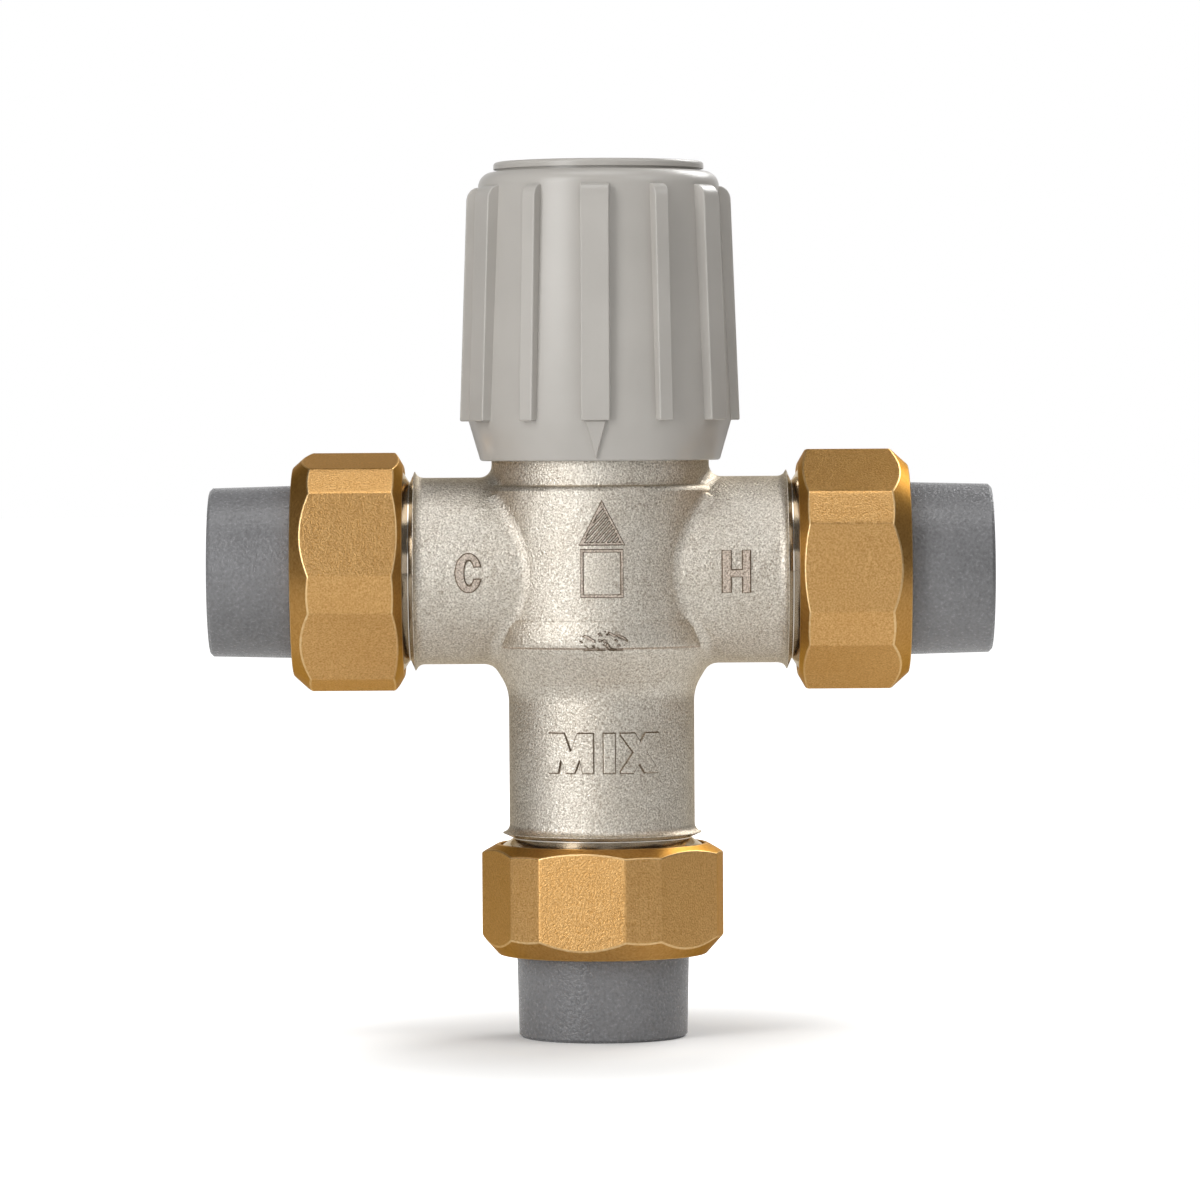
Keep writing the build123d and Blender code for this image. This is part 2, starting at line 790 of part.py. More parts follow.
spindle_clip_floor_r = spindle_r - clip_thick
spindle_bearing_r = spindle_r + running_gap
spindle_groove_r = spindle_bearing_r - seal_depth
seal_step = bonnet_tube_len / 3
seal_heights = (bonnet_top - 2 * seal_step, bonnet_top - seal_step)
with BuildPart() as spindle:
    half = section(
        (0, spindle_low),
        (spindle_thread_r, spindle_low),
        (spindle_thread_r, collar_low),
        (spindle_collar_r, collar_low),
        (spindle_collar_r, collar_top),
        (spindle_r, collar_top),
        (spindle_r, bonnet_top + running_gap),
        (spindle_clip_floor_r, bonnet_top + running_gap),
        (spindle_clip_floor_r, bonnet_top + running_gap + clip_thick),
        (spindle_r, bonnet_top + running_gap + clip_thick),
        (spindle_r, hub_low - running_gap),
        (0, hub_low - running_gap),
    )
    revolve(half, axis=Axis.Z)
    for height in seal_heights:
        revolve(groove(spindle_groove_r, spindle_r, height), axis=Axis.Z, mode=Mode.SUBTRACT)
    with BuildSketch(Plane.XY.offset(hub_low - running_gap)):
        add(spline(spline_r, spline_root_r))
    extrude(amount=spindle_top - hub_low + running_gap)
    screw_hole = ring(0, screw_r + thread_gap, spindle_top - screw_len, spindle_top)
    revolve(screw_hole, axis=Axis.Z, mode=Mode.SUBTRACT)
save(spindle.part, "spindle")
save(open_clip(spindle_clip_floor_r, bonnet_top + running_gap), "spindle_clip")
for height, name in zip(seal_heights, ("spindle_seal_lower", "spindle_seal_upper")):
    save(round_seal(spindle_groove_r, spindle_bearing_r, height), name)

# Carrier: a hexagon that can't turn, moved up and down by the spindle, with the overload spring inside
with BuildPart() as carrier:
    with BuildSketch(Plane.XY.offset(carrier_low)):
        RegularPolygon((carrier_hex - carrier_gap) / 2, 6, major_radius=False)
    extrude(amount=carrier_len)
    revolve(ring(0, carrier_bore_r, carrier_low, carrier_roof_low), axis=Axis.Z, mode=Mode.SUBTRACT)
    spindle_hole = ring(0, spindle_thread_r + running_gap, carrier_low, carrier_top)
    revolve(spindle_hole, axis=Axis.Z, mode=Mode.SUBTRACT)
    ring_groove = ring(0, carrier_bore_r + groove_extra, plunger_ring_low, plunger_low)
    revolve(ring_groove, axis=Axis.Z, mode=Mode.SUBTRACT)
save(carrier.part, "carrier")

with BuildPart() as plunger_ring_piece:
    revolve(
        ring(plunger_ring_bore_r, carrier_bore_r + groove_extra - seal_gap, plunger_ring_low, plunger_low),
        axis=Axis.Z,
    )
save(plunger_ring_piece.part, "plunger_ring")

with BuildPart() as overload_plunger:
    half = section(
        (0, pin_top),
        (plunger_nose_r, pin_top),
        (plunger_nose_r, plunger_low),
        (plunger_r, plunger_low),
        (plunger_r, plunger_top),
        (0, plunger_top),
    )
    revolve(half, axis=Axis.Z)
save(overload_plunger.part, "overload_plunger")

plunger_face = Plane.XY.offset(plunger_top)
overload_room = carrier_roof_low - plunger_top
save(coil(plunger_face, overload_wire_r, overload_mean_r, overload_room, overload_turns), "overload_spring")

# Knob: one moulding with twelve ribs, a flared skirt with a pointer, a hub and a pocket for the cap
cone_slope = (knob_r - knob_top_r) / knob_cone_len
knob_front = -90 + knob_turned


def outer_r(height):
    """The knob's outside radius at a height above the skirt."""
    return knob_r - cone_slope * (height - skirt_top)


def knob_radial(angle):
    """The upright plane through the knob's axis, its X pointing out at the angle."""
    return Plane.XZ.rotated((0, 0, angle))


with BuildPart() as pointer:
    with BuildSketch(Plane(origin=(0, 0, 0), x_dir=(0, 0, 1), z_dir=(1, 0, 0)).rotated((0, 0, knob_front))):
        with BuildLine():
            Polyline(
                (skirt_top, -pointer_wide / 2),
                (skirt_top, pointer_wide / 2),
                (skirt_top - pointer_len, 0),
                close=True,
            )
        make_face()
    extrude(amount=rib_low_r)
    band = section(
        (skirt_low_r - pointer_proud, skirt_low),
        (skirt_low_r + pointer_proud, skirt_low),
        (knob_r + pointer_proud, skirt_top),
        (knob_r - pointer_proud, skirt_top),
    )
    revolve(band, axis=Axis.Z, mode=Mode.INTERSECT)

with BuildPart() as knob:
    with BuildSketch(Plane.XZ):
        with BuildLine():
            side = FilletPolyline(
                (0, skirt_low),
                (skirt_low_r, skirt_low),
                (knob_r, skirt_top),
                (outer_r(knob_top), knob_top),
                (0, knob_top),
                radius=[0, 0, knob_shoulder],
            )
            Line(side @ 1, side @ 0)
        make_face()
    revolve(axis=Axis.Z)
    nose_low = skirt_top + rib_straight
    for index in range(rib_count):
        rib_plane = knob_radial(knob_front + 360 / rib_count * index)
        with BuildSketch(rib_plane):
            with BuildLine():
                nose = RadiusArc(
                    (rib_high_r, nose_low),
                    (rib_nose_r, nose_low + rib_nose),
                    -rib_nose,
                )
                Polyline(
                    nose @ 1,
                    (outer_r(knob_top) - knob_wall, nose_low),
                    (knob_r - knob_wall / 2, skirt_top),
                    (rib_low_r, skirt_top),
                    nose @ 0,
                )
            make_face()
        extrude(amount=(rib_narrow if index % 2 else rib_wide) / 2, both=True)
    add(pointer.part)
    hollow = section(
        (0, skirt_low),
        (skirt_low_r - skirt_wall, skirt_low),
        (knob_r - knob_wall, skirt_top),
        (outer_r(knob_web_low) - knob_wall, knob_web_low),
        (0, knob_web_low),
    )
    revolve(hollow, axis=Axis.Z, mode=Mode.SUBTRACT)
    revolve(ring(0, cap_bore_r, knob_web_top, knob_top), axis=Axis.Z, mode=Mode.SUBTRACT)
    with BuildSketch(Plane.XY.offset(knob_web_low)):
        with PolarLocations(0, hub_ribs, start_angle=knob_front):
            Rectangle(outer_r(knob_web_low) - knob_wall / 2, hub_rib_thick, align=(Align.MIN, Align.CENTER))
    extrude(amount=-hub_rib_len)
    revolve(ring(0, hub_r, hub_low, knob_web_low), axis=Axis.Z)
    lug_start = knob_radial(knob_front - stop_angle / 2)
    lug_low = bonnet_hex_low + stop_thick + loose_gap
    revolve(
        ring(stop_r - stop_lug_wall, knob_r - knob_wall / 2, lug_low, lug_low + stop_lug, lug_start),
        axis=Axis.Z,
        revolution_arc=stop_angle,
    )
    with BuildSketch(Plane.XY.offset(hub_low)):
        add(spline(spline_r + running_gap, spline_root_r + running_gap))
    extrude(amount=knob_web_low - hub_low, mode=Mode.SUBTRACT)
    revolve(ring(0, screw_r + thread_gap, knob_web_low, knob_web_top), axis=Axis.Z, mode=Mode.SUBTRACT)
save(knob.part, "knob")

# Cap, screw and washer in the knob's top
cap_low = knob_top + cap_lift
with BuildPart() as knob_cap:
    half = section(
        (0, cap_low),
        (cap_bore_r - running_gap - cap_plug_wall, cap_low),
        (cap_bore_r - running_gap - cap_plug_wall, knob_top - cap_plug_len),
        (cap_bore_r - running_gap, knob_top - cap_plug_len),
        (cap_bore_r - running_gap, knob_top),
        (cap_bore_r + cap_edge, knob_top),
        (cap_bore_r + cap_edge, cap_low),
        (cap_r, cap_low),
        (cap_r, cap_low + cap_thick),
        (0, cap_low + cap_thick),
    )
    revolve(half, axis=Axis.Z)
    fillet(knob_cap.edges().sort_by(Axis.Z)[-1], cap_edge)
save(knob_cap.part, "knob_cap")

washer_top = knob_web_top + washer_thick
with BuildPart() as knob_washer:
    revolve(ring(screw_r + thread_gap, washer_r, knob_web_top, washer_top), axis=Axis.Z)
save(knob_washer.part, "knob_washer")

with BuildPart() as knob_screw:
    half = section(
        (0, washer_top - screw_len),
        (screw_r, washer_top - screw_len),
        (screw_r, washer_top),
        (screw_head_r, washer_top),
        (screw_head_r, washer_top + screw_head),
        (0, washer_top + screw_head),
    )
    revolve(half, axis=Axis.Z)
    with BuildSketch(Plane.XY.offset(washer_top + screw_head)):
        Rectangle(screw_r * 2, screw_head / 3)
        Rectangle(screw_head / 3, screw_r * 2)
    extrude(amount=-screw_head / 2, mode=Mode.SUBTRACT)
save(knob_screw.part, "knob_screw")
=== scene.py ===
import json
import math

import bmesh
import bpy
import numpy as np
from mathutils import Matrix, Vector


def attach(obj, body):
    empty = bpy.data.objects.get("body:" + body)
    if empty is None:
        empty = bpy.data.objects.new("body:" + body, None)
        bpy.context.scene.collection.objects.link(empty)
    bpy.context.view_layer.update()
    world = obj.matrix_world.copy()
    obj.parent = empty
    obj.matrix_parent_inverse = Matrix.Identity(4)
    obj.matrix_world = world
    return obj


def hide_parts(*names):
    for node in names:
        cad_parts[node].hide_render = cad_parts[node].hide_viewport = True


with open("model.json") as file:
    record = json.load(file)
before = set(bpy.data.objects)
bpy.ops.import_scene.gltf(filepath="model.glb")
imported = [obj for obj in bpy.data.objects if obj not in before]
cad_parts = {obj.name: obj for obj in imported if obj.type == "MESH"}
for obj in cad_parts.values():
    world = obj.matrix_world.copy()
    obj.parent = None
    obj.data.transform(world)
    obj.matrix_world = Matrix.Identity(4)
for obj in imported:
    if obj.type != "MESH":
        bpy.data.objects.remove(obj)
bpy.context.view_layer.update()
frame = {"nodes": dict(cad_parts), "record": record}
scene = bpy.context.scene

# Thermostatic mixing valve. Sizes are in millimetres and become metres as each mesh is made. They are
# the ones that the solids have.
MM = 0.001
AXIS_Z = 76.5
ARM_REACH = 30.45
STEM_REACH = 43.0
ARM_R = 15.3
STEM_R = 15.2
BARREL_R = 19.45

# Each union: where its rim is, the way out of it, and the turn of its nut
PORTS = {
    "cold": ((-ARM_REACH, 0, AXIS_Z), (-1, 0, 0), 20.0),
    "hot": ((ARM_REACH, 0, AXIS_Z), (1, 0, 0), -1.5),
    "mix": ((0, 0, AXIS_Z - STEM_REACH), (0, 0, -1), 10.2),
}
# The G1 thread on each spigot: its pitch, and how far past the rim it begins
THREAD_PITCH = 2.309
THREAD_START = 3.2

# The knob's moulding
SKIRT_LOW = 94.5
SKIRT_TOP = 101.0
SKIRT_LOW_R = 19.6
KNOB_R = 21.5
KNOB_SLOPE = (KNOB_R - 19.85) / 37.8
KNOB_TOP = 141.7
KNOB_TURN = -1.8

# An edge sharper than this many degrees shows as an edge
SHARP_EDGE = 28

# The studio: how bright its sides are, and each soft lamp's azimuth, elevation, distance and size in
# metres, and power in watts
ROOM_SIDES = 0.16
LAMPS = (
    ("softbox_left", -40, 20, 0.9, (0.36, 0.8), 4.8),
    ("softbox_front", 6, 13, 1.0, (0.4, 0.4), 0.55),
    ("softbox_right", 48, 38, 0.9, (0.5, 0.5), 1.2),
    ("softbox_back", 142, 38, 0.9, (0.45, 0.35), 3.8),
    ("softbox_top", -10, 82, 0.9, (0.6, 0.4), 2.2),
)

# What the rough metals keep of their colour where they are seen along their faces, instead of the white
# that a smooth metal has there
NICKEL_GRAZING = "#DCCDB4"
BRASS_GRAZING = "#DAC09A"
# A clean machined face, plated
TURNED_NICKEL = "#D9D3CA"

# The kinds of node that most patterns are built from
NOISE = "ShaderNodeTexNoise"
RANGE = "ShaderNodeMapRange"
MIX = "ShaderNodeMix"
MATH = "ShaderNodeMath"
BUMP = "ShaderNodeBump"
PRINCIPLED = "ShaderNodeBsdfPrincipled"
SURFACE = "ShaderNodeOutputMaterial"


def add(tree, kind, inputs=None, **settings):
    """Adds a node with its settings. An input's value is a number, a colour, a socket to link from, or a
    node, which links from its first live output."""
    node = tree.nodes.new(kind)
    for key, value in settings.items():
        setattr(node, key, value)
    for key, value in (inputs or {}).items():
        if isinstance(value, bpy.types.Node):
            value = next(output for output in value.outputs if output.enabled)
        if isinstance(value, bpy.types.NodeSocket):
            tree.links.new(value, node.inputs[key])
        else:
            node.inputs[key].default_value = value
    return node


def linear(colour):
    """An sRGB hex colour as linear values."""
    parts = [int(colour[i : i + 2], 16) / 255 for i in (1, 3, 5)]
    return [c / 12.92 if c <= 0.04045 else ((c + 0.055) / 1.055) ** 2.4 for c in parts] + [1.0]


def new_material(name):
    """An empty material's tree and the object coordinates that its patterns lie on."""
    material = bpy.data.materials.new(name)
    material.use_nodes = True
    tree = material.node_tree
    tree.nodes.clear()
    place = add(tree, "ShaderNodeTexCoord").outputs["Object"]
    return material, tree, place


def per_mm(size):
    """A texture's scale for features of this many millimetres."""
    return 1 / (size * MM)


def casting_finish(name, specks, tones, depth, roughness):
    """Brass casting, shot-blasted and nickel-plated: specks and tones colour its grain, which is as deep
    as given, and the unions have bright turned faces and a thread."""
    material, tree, place = new_material(name)
    pits, bright = map(linear, specks)
    light, dark = map(linear, tones)
    # The shot leaves pits of about 0.2 mm. They are drawn coarser, because that is the size of a pixel
    grain_look = {"Vector": place, "Scale": per_mm(0.29), "Detail": 3.0, "Roughness": 0.65}
    grain = add(tree, NOISE, grain_look)
    dents = add(tree, "ShaderNodeTexVoronoi", {"Vector": place, "Scale": per_mm(0.45)}, feature="SMOOTH_F1")
    swell = add(tree, NOISE, {"Vector": place, "Scale": per_mm(9.0), "Detail": 2.0})
    speck = add(tree, RANGE, {"Value": grain, "From Min": 0.34, "From Max": 0.66})
    drift = add(tree, RANGE, {"Value": swell, "From Min": 0.35, "From Max": 0.65})
    skin = add(tree, MIX, {"Factor": speck, "A": pits, "B": bright}, data_type="RGBA")
    tone = add(tree, MIX, {"Factor": drift, "A": light, "B": dark}, data_type="RGBA")
    skin = add(tree, MIX, {"Factor": 0.35, "A": skin, "B": tone}, data_type="RGBA")

    # Whatever lies past a rim was turned
    stem_rim = (AXIS_Z - STEM_REACH) * MM
    axes = add(tree, "ShaderNodeSeparateXYZ", {"Vector": place}).outputs
    side = add(tree, MATH, {0: axes["X"]}, operation="ABSOLUTE")
    arm_out = add(tree, MATH, {0: side, 1: ARM_REACH * MM}, operation="SUBTRACT")
    stem_out = add(tree, MATH, {0: stem_rim, 1: axes["Z"]}, operation="SUBTRACT")
    past_rim = add(tree, MATH, {0: arm_out, 1: stem_out}, operation="MAXIMUM")
    turned = add(tree, MATH, {0: past_rim, 1: 0.02 * MM}, operation="GREATER_THAN")
    cast = add(tree, MATH, {0: 1.0, 1: turned}, operation="SUBTRACT")
    colour = add(tree, MIX, {"Factor": turned, "A": skin, "B": linear(TURNED_NICKEL)}, data_type="RGBA")
    dull = add(tree, RANGE, {"Value": turned, "To Min": roughness, "To Max": 0.14})

    # The thread's flanks wind round each spigot's own axis, as deep as the real ones
    high = add(tree, MATH, {0: axes["Z"], 1: AXIS_Z * MM}, operation="SUBTRACT")
    on_stem = add(tree, MATH, {0: axes["Z"], 1: stem_rim}, operation="LESS_THAN")
    arm_turn = add(tree, MATH, {0: high, 1: axes["Y"]}, operation="ARCTAN2")
    stem_turn = add(tree, MATH, {0: axes["X"], 1: axes["Y"]}, operation="ARCTAN2")
    turn = add(tree, MIX, {"Factor": on_stem, "A": arm_turn, "B": stem_turn})
    turns = add(tree, MATH, {0: past_rim, 1: THREAD_PITCH * MM}, operation="DIVIDE")
    turns = add(tree, MATH, {0: turn, 1: 1 / (2 * math.pi), 2: turns}, operation="MULTIPLY_ADD")
    flank = add(tree, MATH, {0: turns, 1: 0.5}, operation="PINGPONG")
    threaded = add(tree, MATH, {0: past_rim, 1: THREAD_START * MM}, operation="GREATER_THAN")
    thread = add(tree, MATH, {0: flank, 1: threaded}, operation="MULTIPLY")

    relief = add(tree, MATH, {0: dents, 1: 0.6, 2: grain}, operation="MULTIPLY_ADD")
    relief = add(tree, MATH, {0: relief, 1: cast}, operation="MULTIPLY")
    bump = add(tree, BUMP, {"Height": swell, "Strength": 0.5, "Distance": 0.5 * MM})
    bump = add(tree, BUMP, {"Height": relief, "Strength": 0.9, "Distance": depth * MM, "Normal": bump})
    bump = add(tree, BUMP, {"Height": thread, "Strength": 1.0, "Distance": 1.4 * MM, "Normal": bump})
    plate = add(tree, PRINCIPLED, {"Base Color": colour, "Metallic": 1.0, "Roughness": dull, "Normal": bump})
    plate.inputs["Specular Tint"].default_value = linear(NICKEL_GRAZING)
    add(tree, SURFACE, {"Surface": plate})
    return material


def brass_finish(name, colours, roughness, grain_size, grain_depth, grazing=BRASS_GRAZING):
    """Brass, or another metal, with an even grain: coarse where it was forged and blasted, fine where it
    was turned. Its two first colours are the grain's and the third is a stain's. Seen along its face it
    keeps a tint."""
    material, tree, place = new_material(name)
    low, high, stained = map(linear, colours)
    grain = add(tree, NOISE, {"Vector": place, "Scale": per_mm(grain_size), "Detail": 3.0})
    stain = add(tree, NOISE, {"Vector": place, "Scale": per_mm(7.0), "Detail": 3.0})
    speck = add(tree, RANGE, {"Value": grain, "From Min": 0.3, "From Max": 0.7})
    share = add(tree, RANGE, {"Value": stain, "To Min": 0.0, "To Max": 0.6})
    dull = add(tree, RANGE, {"Value": grain, "To Min": roughness - 0.08, "To Max": roughness + 0.08})
    colour = add(tree, MIX, {"Factor": speck, "A": low, "B": high}, data_type="RGBA")
    colour = add(tree, MIX, {"Factor": share, "A": colour, "B": stained}, data_type="RGBA")
    bump = add(tree, BUMP, {"Height": grain, "Strength": 0.7, "Distance": grain_depth * MM})
    metal = add(tree, PRINCIPLED, {"Base Color": colour, "Metallic": 1.0, "Roughness": dull, "Normal": bump})
    metal.inputs["Specular Tint"].default_value = linear(grazing)
    add(tree, SURFACE, {"Surface": metal})
    return material


def plastic_finish(name, colours, roughness, grain_size, grain_depth, speckle=0.1, coat=0.0):
    """A moulded plastic or rubber: its colour drifts a little and is speckled by a share, and its skin has
    the mould's texture."""
    material, tree, place = new_material(name)
    low, high = map(linear, colours)
    grain = add(tree, NOISE, {"Vector": place, "Scale": per_mm(grain_size), "Detail": 3.0})
    drift = add(tree, NOISE, {"Vector": place, "Scale": per_mm(12.0), "Detail": 2.0})
    tone = add(tree, MIX, {"Factor": speckle, "A": drift, "B": grain})
    share = add(tree, RANGE, {"Value": tone, "From Min": 0.3, "From Max": 0.7})
    dull = add(tree, RANGE, {"Value": grain, "To Min": roughness - 0.05, "To Max": roughness + 0.05})
    colour = add(tree, MIX, {"Factor": share, "A": low, "B": high}, data_type="RGBA")
    bump = add(tree, BUMP, {"Height": grain, "Strength": 0.6, "Distance": grain_depth * MM})
    plastic = add(tree, PRINCIPLED, {"Base Color": colour, "Roughness": dull, "IOR": 1.52, "Normal": bump})
    plastic.inputs["Coat Weight"].default_value = coat
    plastic.inputs["Coat Roughness"].default_value = 0.25
    add(tree, SURFACE, {"Surface": plastic})
    return material


# Nickel plate on a blasted casting: the eye sees warm silver with a dense sparkling grain, brown in its pits
nickel_casting = casting_finish(
    "nickel_plated_brass_casting", ("#7C6F60", "#FFFBF1"), ("#E4DCCF", "#D0C4B3"), 0.13, 0.4
)
# The same plate on the tops of the cast marks, where the mould was rougher and the grain holds more brown.
# On the barrel lip's lower edge the same finish is painted shade
nickel_mark_tops_and_lip_shade = casting_finish(
    "nickel_on_rough_cast_marks", ("#71604F", "#FBEDE0"), ("#D8CCC0", "#C6B7A7"), 0.3, 0.4
)
# The same plate, darker and duller, on the marks' outlines round their feet: a thin dark outline of painted
# shade
nickel_mark_painted_shade = casting_finish(
    "nickel_mark_outlines_painted_shade", ("#4A4036", "#B2A594"), ("#908270", "#7A6C5C"), 0.12, 0.6
)
# Hot-forged brass, blasted: dull gold with a sand-like grain on the nuts' flats. The sand is nearer to
# 0.15 mm, and is drawn coarser to show
blasted_brass = brass_finish("blasted_forged_brass", ("#B98A4E", "#E8BE82", "#CC9B5C"), 0.38, 0.3, 0.09)
# Turned brass: smooth, a shade deeper, on the nuts' bevels, faces and bores and on the parts inside
turned_brass = brass_finish("turned_brass", ("#B08045", "#D0A362", "#AB7E45"), 0.38, 0.4, 0.012)
# The nuts' edges, lighter: rubbed bright in the barrel, and partly a painted highlight
rubbed_brass_and_painted_highlight = brass_finish("brass_edge_rubbed_and_painted_highlight", ("#DDB47A", "#F0D3A0", "#D9B078"), 0.34, 0.6, 0.03)
# CPVC: dark neutral grey, with the orange-peel skin of a moulded socket
cpvc = plastic_finish("moulded_cpvc", ("#626263", "#868688"), 0.26, 0.5, 0.26, speckle=0.6)
# ABS: warm light grey with a satin sheen
abs_plastic = plastic_finish("satin_abs", ("#B1ADA7", "#B8B4AE"), 0.34, 0.35, 0.006, coat=0.15)
# Acetal: waxy white
acetal = plastic_finish("white_acetal", ("#DAD8CF", "#E4E2DA"), 0.38, 0.5, 0.01)
# Nitrile rubber: matt black
rubber = plastic_finish("nitrile_rubber", ("#1B1B1C", "#262627"), 0.6, 0.3, 0.02)
# Expansion wax: amber and dull
wax = plastic_finish("expansion_wax", ("#B98B3D", "#C99C50"), 0.5, 0.6, 0.02)
# Stainless steel: cold grey, drawn or turned
steel = brass_finish("stainless_steel", ("#9C9EA0", "#BDBFC1", "#A9ABAD"), 0.24, 0.6, 0.01, "#FFFFFF")

SLOT_FINISH = {
    "nickel_casting": nickel_casting,
    "nut_brass": blasted_brass,
    "turned_brass": turned_brass,
    "socket_plastic": cpvc,
    "knob_plastic": abs_plastic,
    "acetal": acetal,
    "rubber": rubber,
    "steel": steel,
    "wax": wax,
}


def finish_cad_nodes():
    """Gives every CAD node the finish that its slot in the record names."""
    for part in frame["record"]["subparts"]:
        node = frame["nodes"][part["node"]]
        for slot in node.material_slots:
            slot.link = "OBJECT"
            slot.material = SLOT_FINISH[part["material_slot"]]


def make_mesh(name, points, faces, materials, face_materials=None, place=None):
    """A mesh object from points in millimetres, with its normals outward and its place in its mesh."""
    mesh = bpy.data.meshes.new(name)
    mesh.from_pydata([tuple(p) for p in np.asarray(points, float) * MM], [], faces)
    for material in materials:
        mesh.materials.append(material)
    if face_materials is not None:
        mesh.polygons.foreach_set("material_index", face_materials)
    if place is not None:
        mesh.transform(place)
    shape = bmesh.new()
    shape.from_mesh(mesh)
    bmesh.ops.remove_doubles(shape, verts=shape.verts, dist=1e-7)
    bmesh.ops.recalc_face_normals(shape, faces=shape.faces)
    shape.to_mesh(mesh)
    shape.free()
    mesh.shade_smooth()
    mesh.set_sharp_from_angle(angle=math.radians(SHARP_EDGE))
    piece = bpy.data.objects.new(name, mesh)
    scene.collection.objects.link(piece)
    return piece


def soften(piece, width, angle=SHARP_EDGE, material=-1):
    """Rounds the piece's sharp edges. Where a material is given, the rounded edges have it."""
    bevel = piece.modifiers.new("edges", "BEVEL")
    bevel.width = width * MM
    bevel.segments = 2
    bevel.limit_method = "ANGLE"
    bevel.angle_limit = math.radians(angle)
    bevel.harden_normals = True
    bevel.material = material


def ring_faces(rings, columns):
    """Quads between neighbouring rings of a turned mesh, whose last ring joins its first."""
    return [
        (
            i * columns + j,
            i * columns + (j + 1) % columns,
            (i + 1) % rings * columns + (j + 1) % columns,
            (i + 1) % rings * columns + j,
        )
        for i in range(rings)
        for j in range(columns)
    ]


def turned_ring(outline, columns=192):
    """Points and faces of a closed outline of (radius, height), turned about the Z axis."""
    angle = np.linspace(0, 2 * math.pi, columns, endpoint=False)
    points = [(r * math.cos(a), r * math.sin(a), z) for r, z in outline for a in angle]
    return points, ring_faces(len(outline), columns)


def arc(centre, radius, start, end, steps):
    """Points of an arc in an outline, with both ends."""
    return [
        (centre[0] + radius * math.cos(a), centre[1] + radius * math.sin(a))
        for a in np.radians(np.linspace(start, end, steps))
    ]


def make_nut(port):
    """One union nut: a hexagon with its points cut back, and turned bevels that meet the flats in
    curves. Each column of points finds its own height on the bevels, so that those curves are true."""
    origin, out, turn = PORTS[port]
    low, shoulder, high = 1.7, 16.7, 19.9
    main_flat, corner_flat, point = 18.5, 19.6, 19.8
    low_face, high_face = 17.2, 17.0
    low_bevel, high_bevel = 1.5 / 2.6, 3.1 / 2.8
    bore, tail_hole = 16.75, 14.6
    # Columns crowd where the two kinds of flat meet, at 20.7 degrees, in a corner that tumbling rounded
    half = [1.6, 4.8, 8.0, 11.2, 14.4, 17.2, 19.0, 19.8, 20.2, 20.55, 20.85, 21.2, 21.6, 22.4, 24.2, 27.0]
    turns = np.array([0, *half, 30, *[60 - a for a in half[::-1]]])
    angles = np.radians(np.concatenate([turns + 60 * k for k in range(6)]))
    flats = math.radians(60)
    from_flat = np.abs((angles + flats / 2) % flats - flats / 2)
    round_off = 0.05
    near_main = np.exp(-main_flat / np.cos(from_flat) / round_off)
    near_corner = np.exp(-corner_flat / np.cos(flats / 2 - from_flat) / round_off)
    rim = np.minimum(-round_off * np.log(near_main + near_corner), point)
    levels = [
        (tail_hole, high),
        (high_face, high),
        (rim, high - (rim - high_face) * high_bevel),
        (rim, low + (rim - low_face) * low_bevel),
        (low_face, low),
        (bore, low),
        (bore, shoulder),
        (tail_hole, shoulder),
    ]
    points = []
    for radius, height in levels:
        radius = np.broadcast_to(radius, angles.shape)
        height = np.broadcast_to(height, angles.shape)
        points += list(zip(radius * np.cos(angles), radius * np.sin(angles), height))
    faces = ring_faces(len(levels), len(angles))
    on_flats = [1 if i == 2 else 0 for i in range(len(levels)) for _ in angles]
    out = Vector(out)
    front = Vector((0, -1, 0))
    spin = Matrix.Rotation(math.radians(turn), 4, "Z")
    stand = Matrix((front, out.cross(front), out)).transposed().to_4x4()
    place = Matrix.Translation(Vector(origin) * MM) @ stand @ spin
    finishes = [turned_brass, blasted_brass, rubbed_brass_and_painted_highlight]
    nut = make_mesh(f"{port}_union_nut_forging", points, faces, finishes, on_flats, place)
    # The rounded edges take the lighter edge finish, partly wear and partly painted highlight
    soften(nut, 0.2, angle=26, material=2)
    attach(nut, f"{port}_union_nut")
    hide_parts(f"{port}_nut")


def knob_radius(height):
    """The knob's outside radius between its ribs."""
    return KNOB_R - KNOB_SLOPE * (height - SKIRT_TOP)


def make_knob_shell():
    """The knob's turned form: a flared skirt, a slow cone, a rounded shoulder, the cap's pocket, the web
    and the hub with its bore."""
    shoulder = 2.5
    pocket_r, web_low, web_high = 16.1, 131.0, 133.5
    hub_low, hub_r, spline_r, screw_r = 121.0, 8.5, 4.8, 2.15
    outline = [
        (18.4, SKIRT_LOW),
        (SKIRT_LOW_R, SKIRT_LOW),
        (KNOB_R, SKIRT_TOP),
        *arc((knob_radius(KNOB_TOP) - shoulder, KNOB_TOP - shoulder), shoulder, 0, 90, 12),
        (pocket_r, KNOB_TOP),
        (pocket_r, web_high),
        (screw_r, web_high),
        (screw_r, web_low),
        (spline_r, web_low),
        (spline_r, hub_low),
        (hub_r, hub_low),
        (hub_r, web_low),
        (knob_radius(web_low) - 2.0, web_low),
        (19.5, SKIRT_TOP),
    ]
    return turned_ring(outline)


def make_rib(width):
    """One upright rib, its outside line rounded over at the top, ready to stand at angle zero."""
    root, line = 20.6, 22.9
    nose_r, nose_z = 19.72, 136.9
    nose_out, nose_up = 1.9, 2.3
    nose = [
        (nose_r + nose_out * math.cos(a), nose_z + nose_up * math.sin(a))
        for a in np.linspace(0, math.pi / 2, 9)
    ]
    side = [(root, SKIRT_TOP), (line, SKIRT_TOP), *nose, (root - 2.6, 139.2)]
    points = [(r, w, z) for w in (-width / 2, width / 2) for r, z in side]
    count = len(side)
    faces = [tuple(range(count)), tuple(range(2 * count - 1, count - 1, -1))]
    faces += [(i, (i + 1) % count, (i + 1) % count + count, i + count) for i in range(count)]
    return points, faces


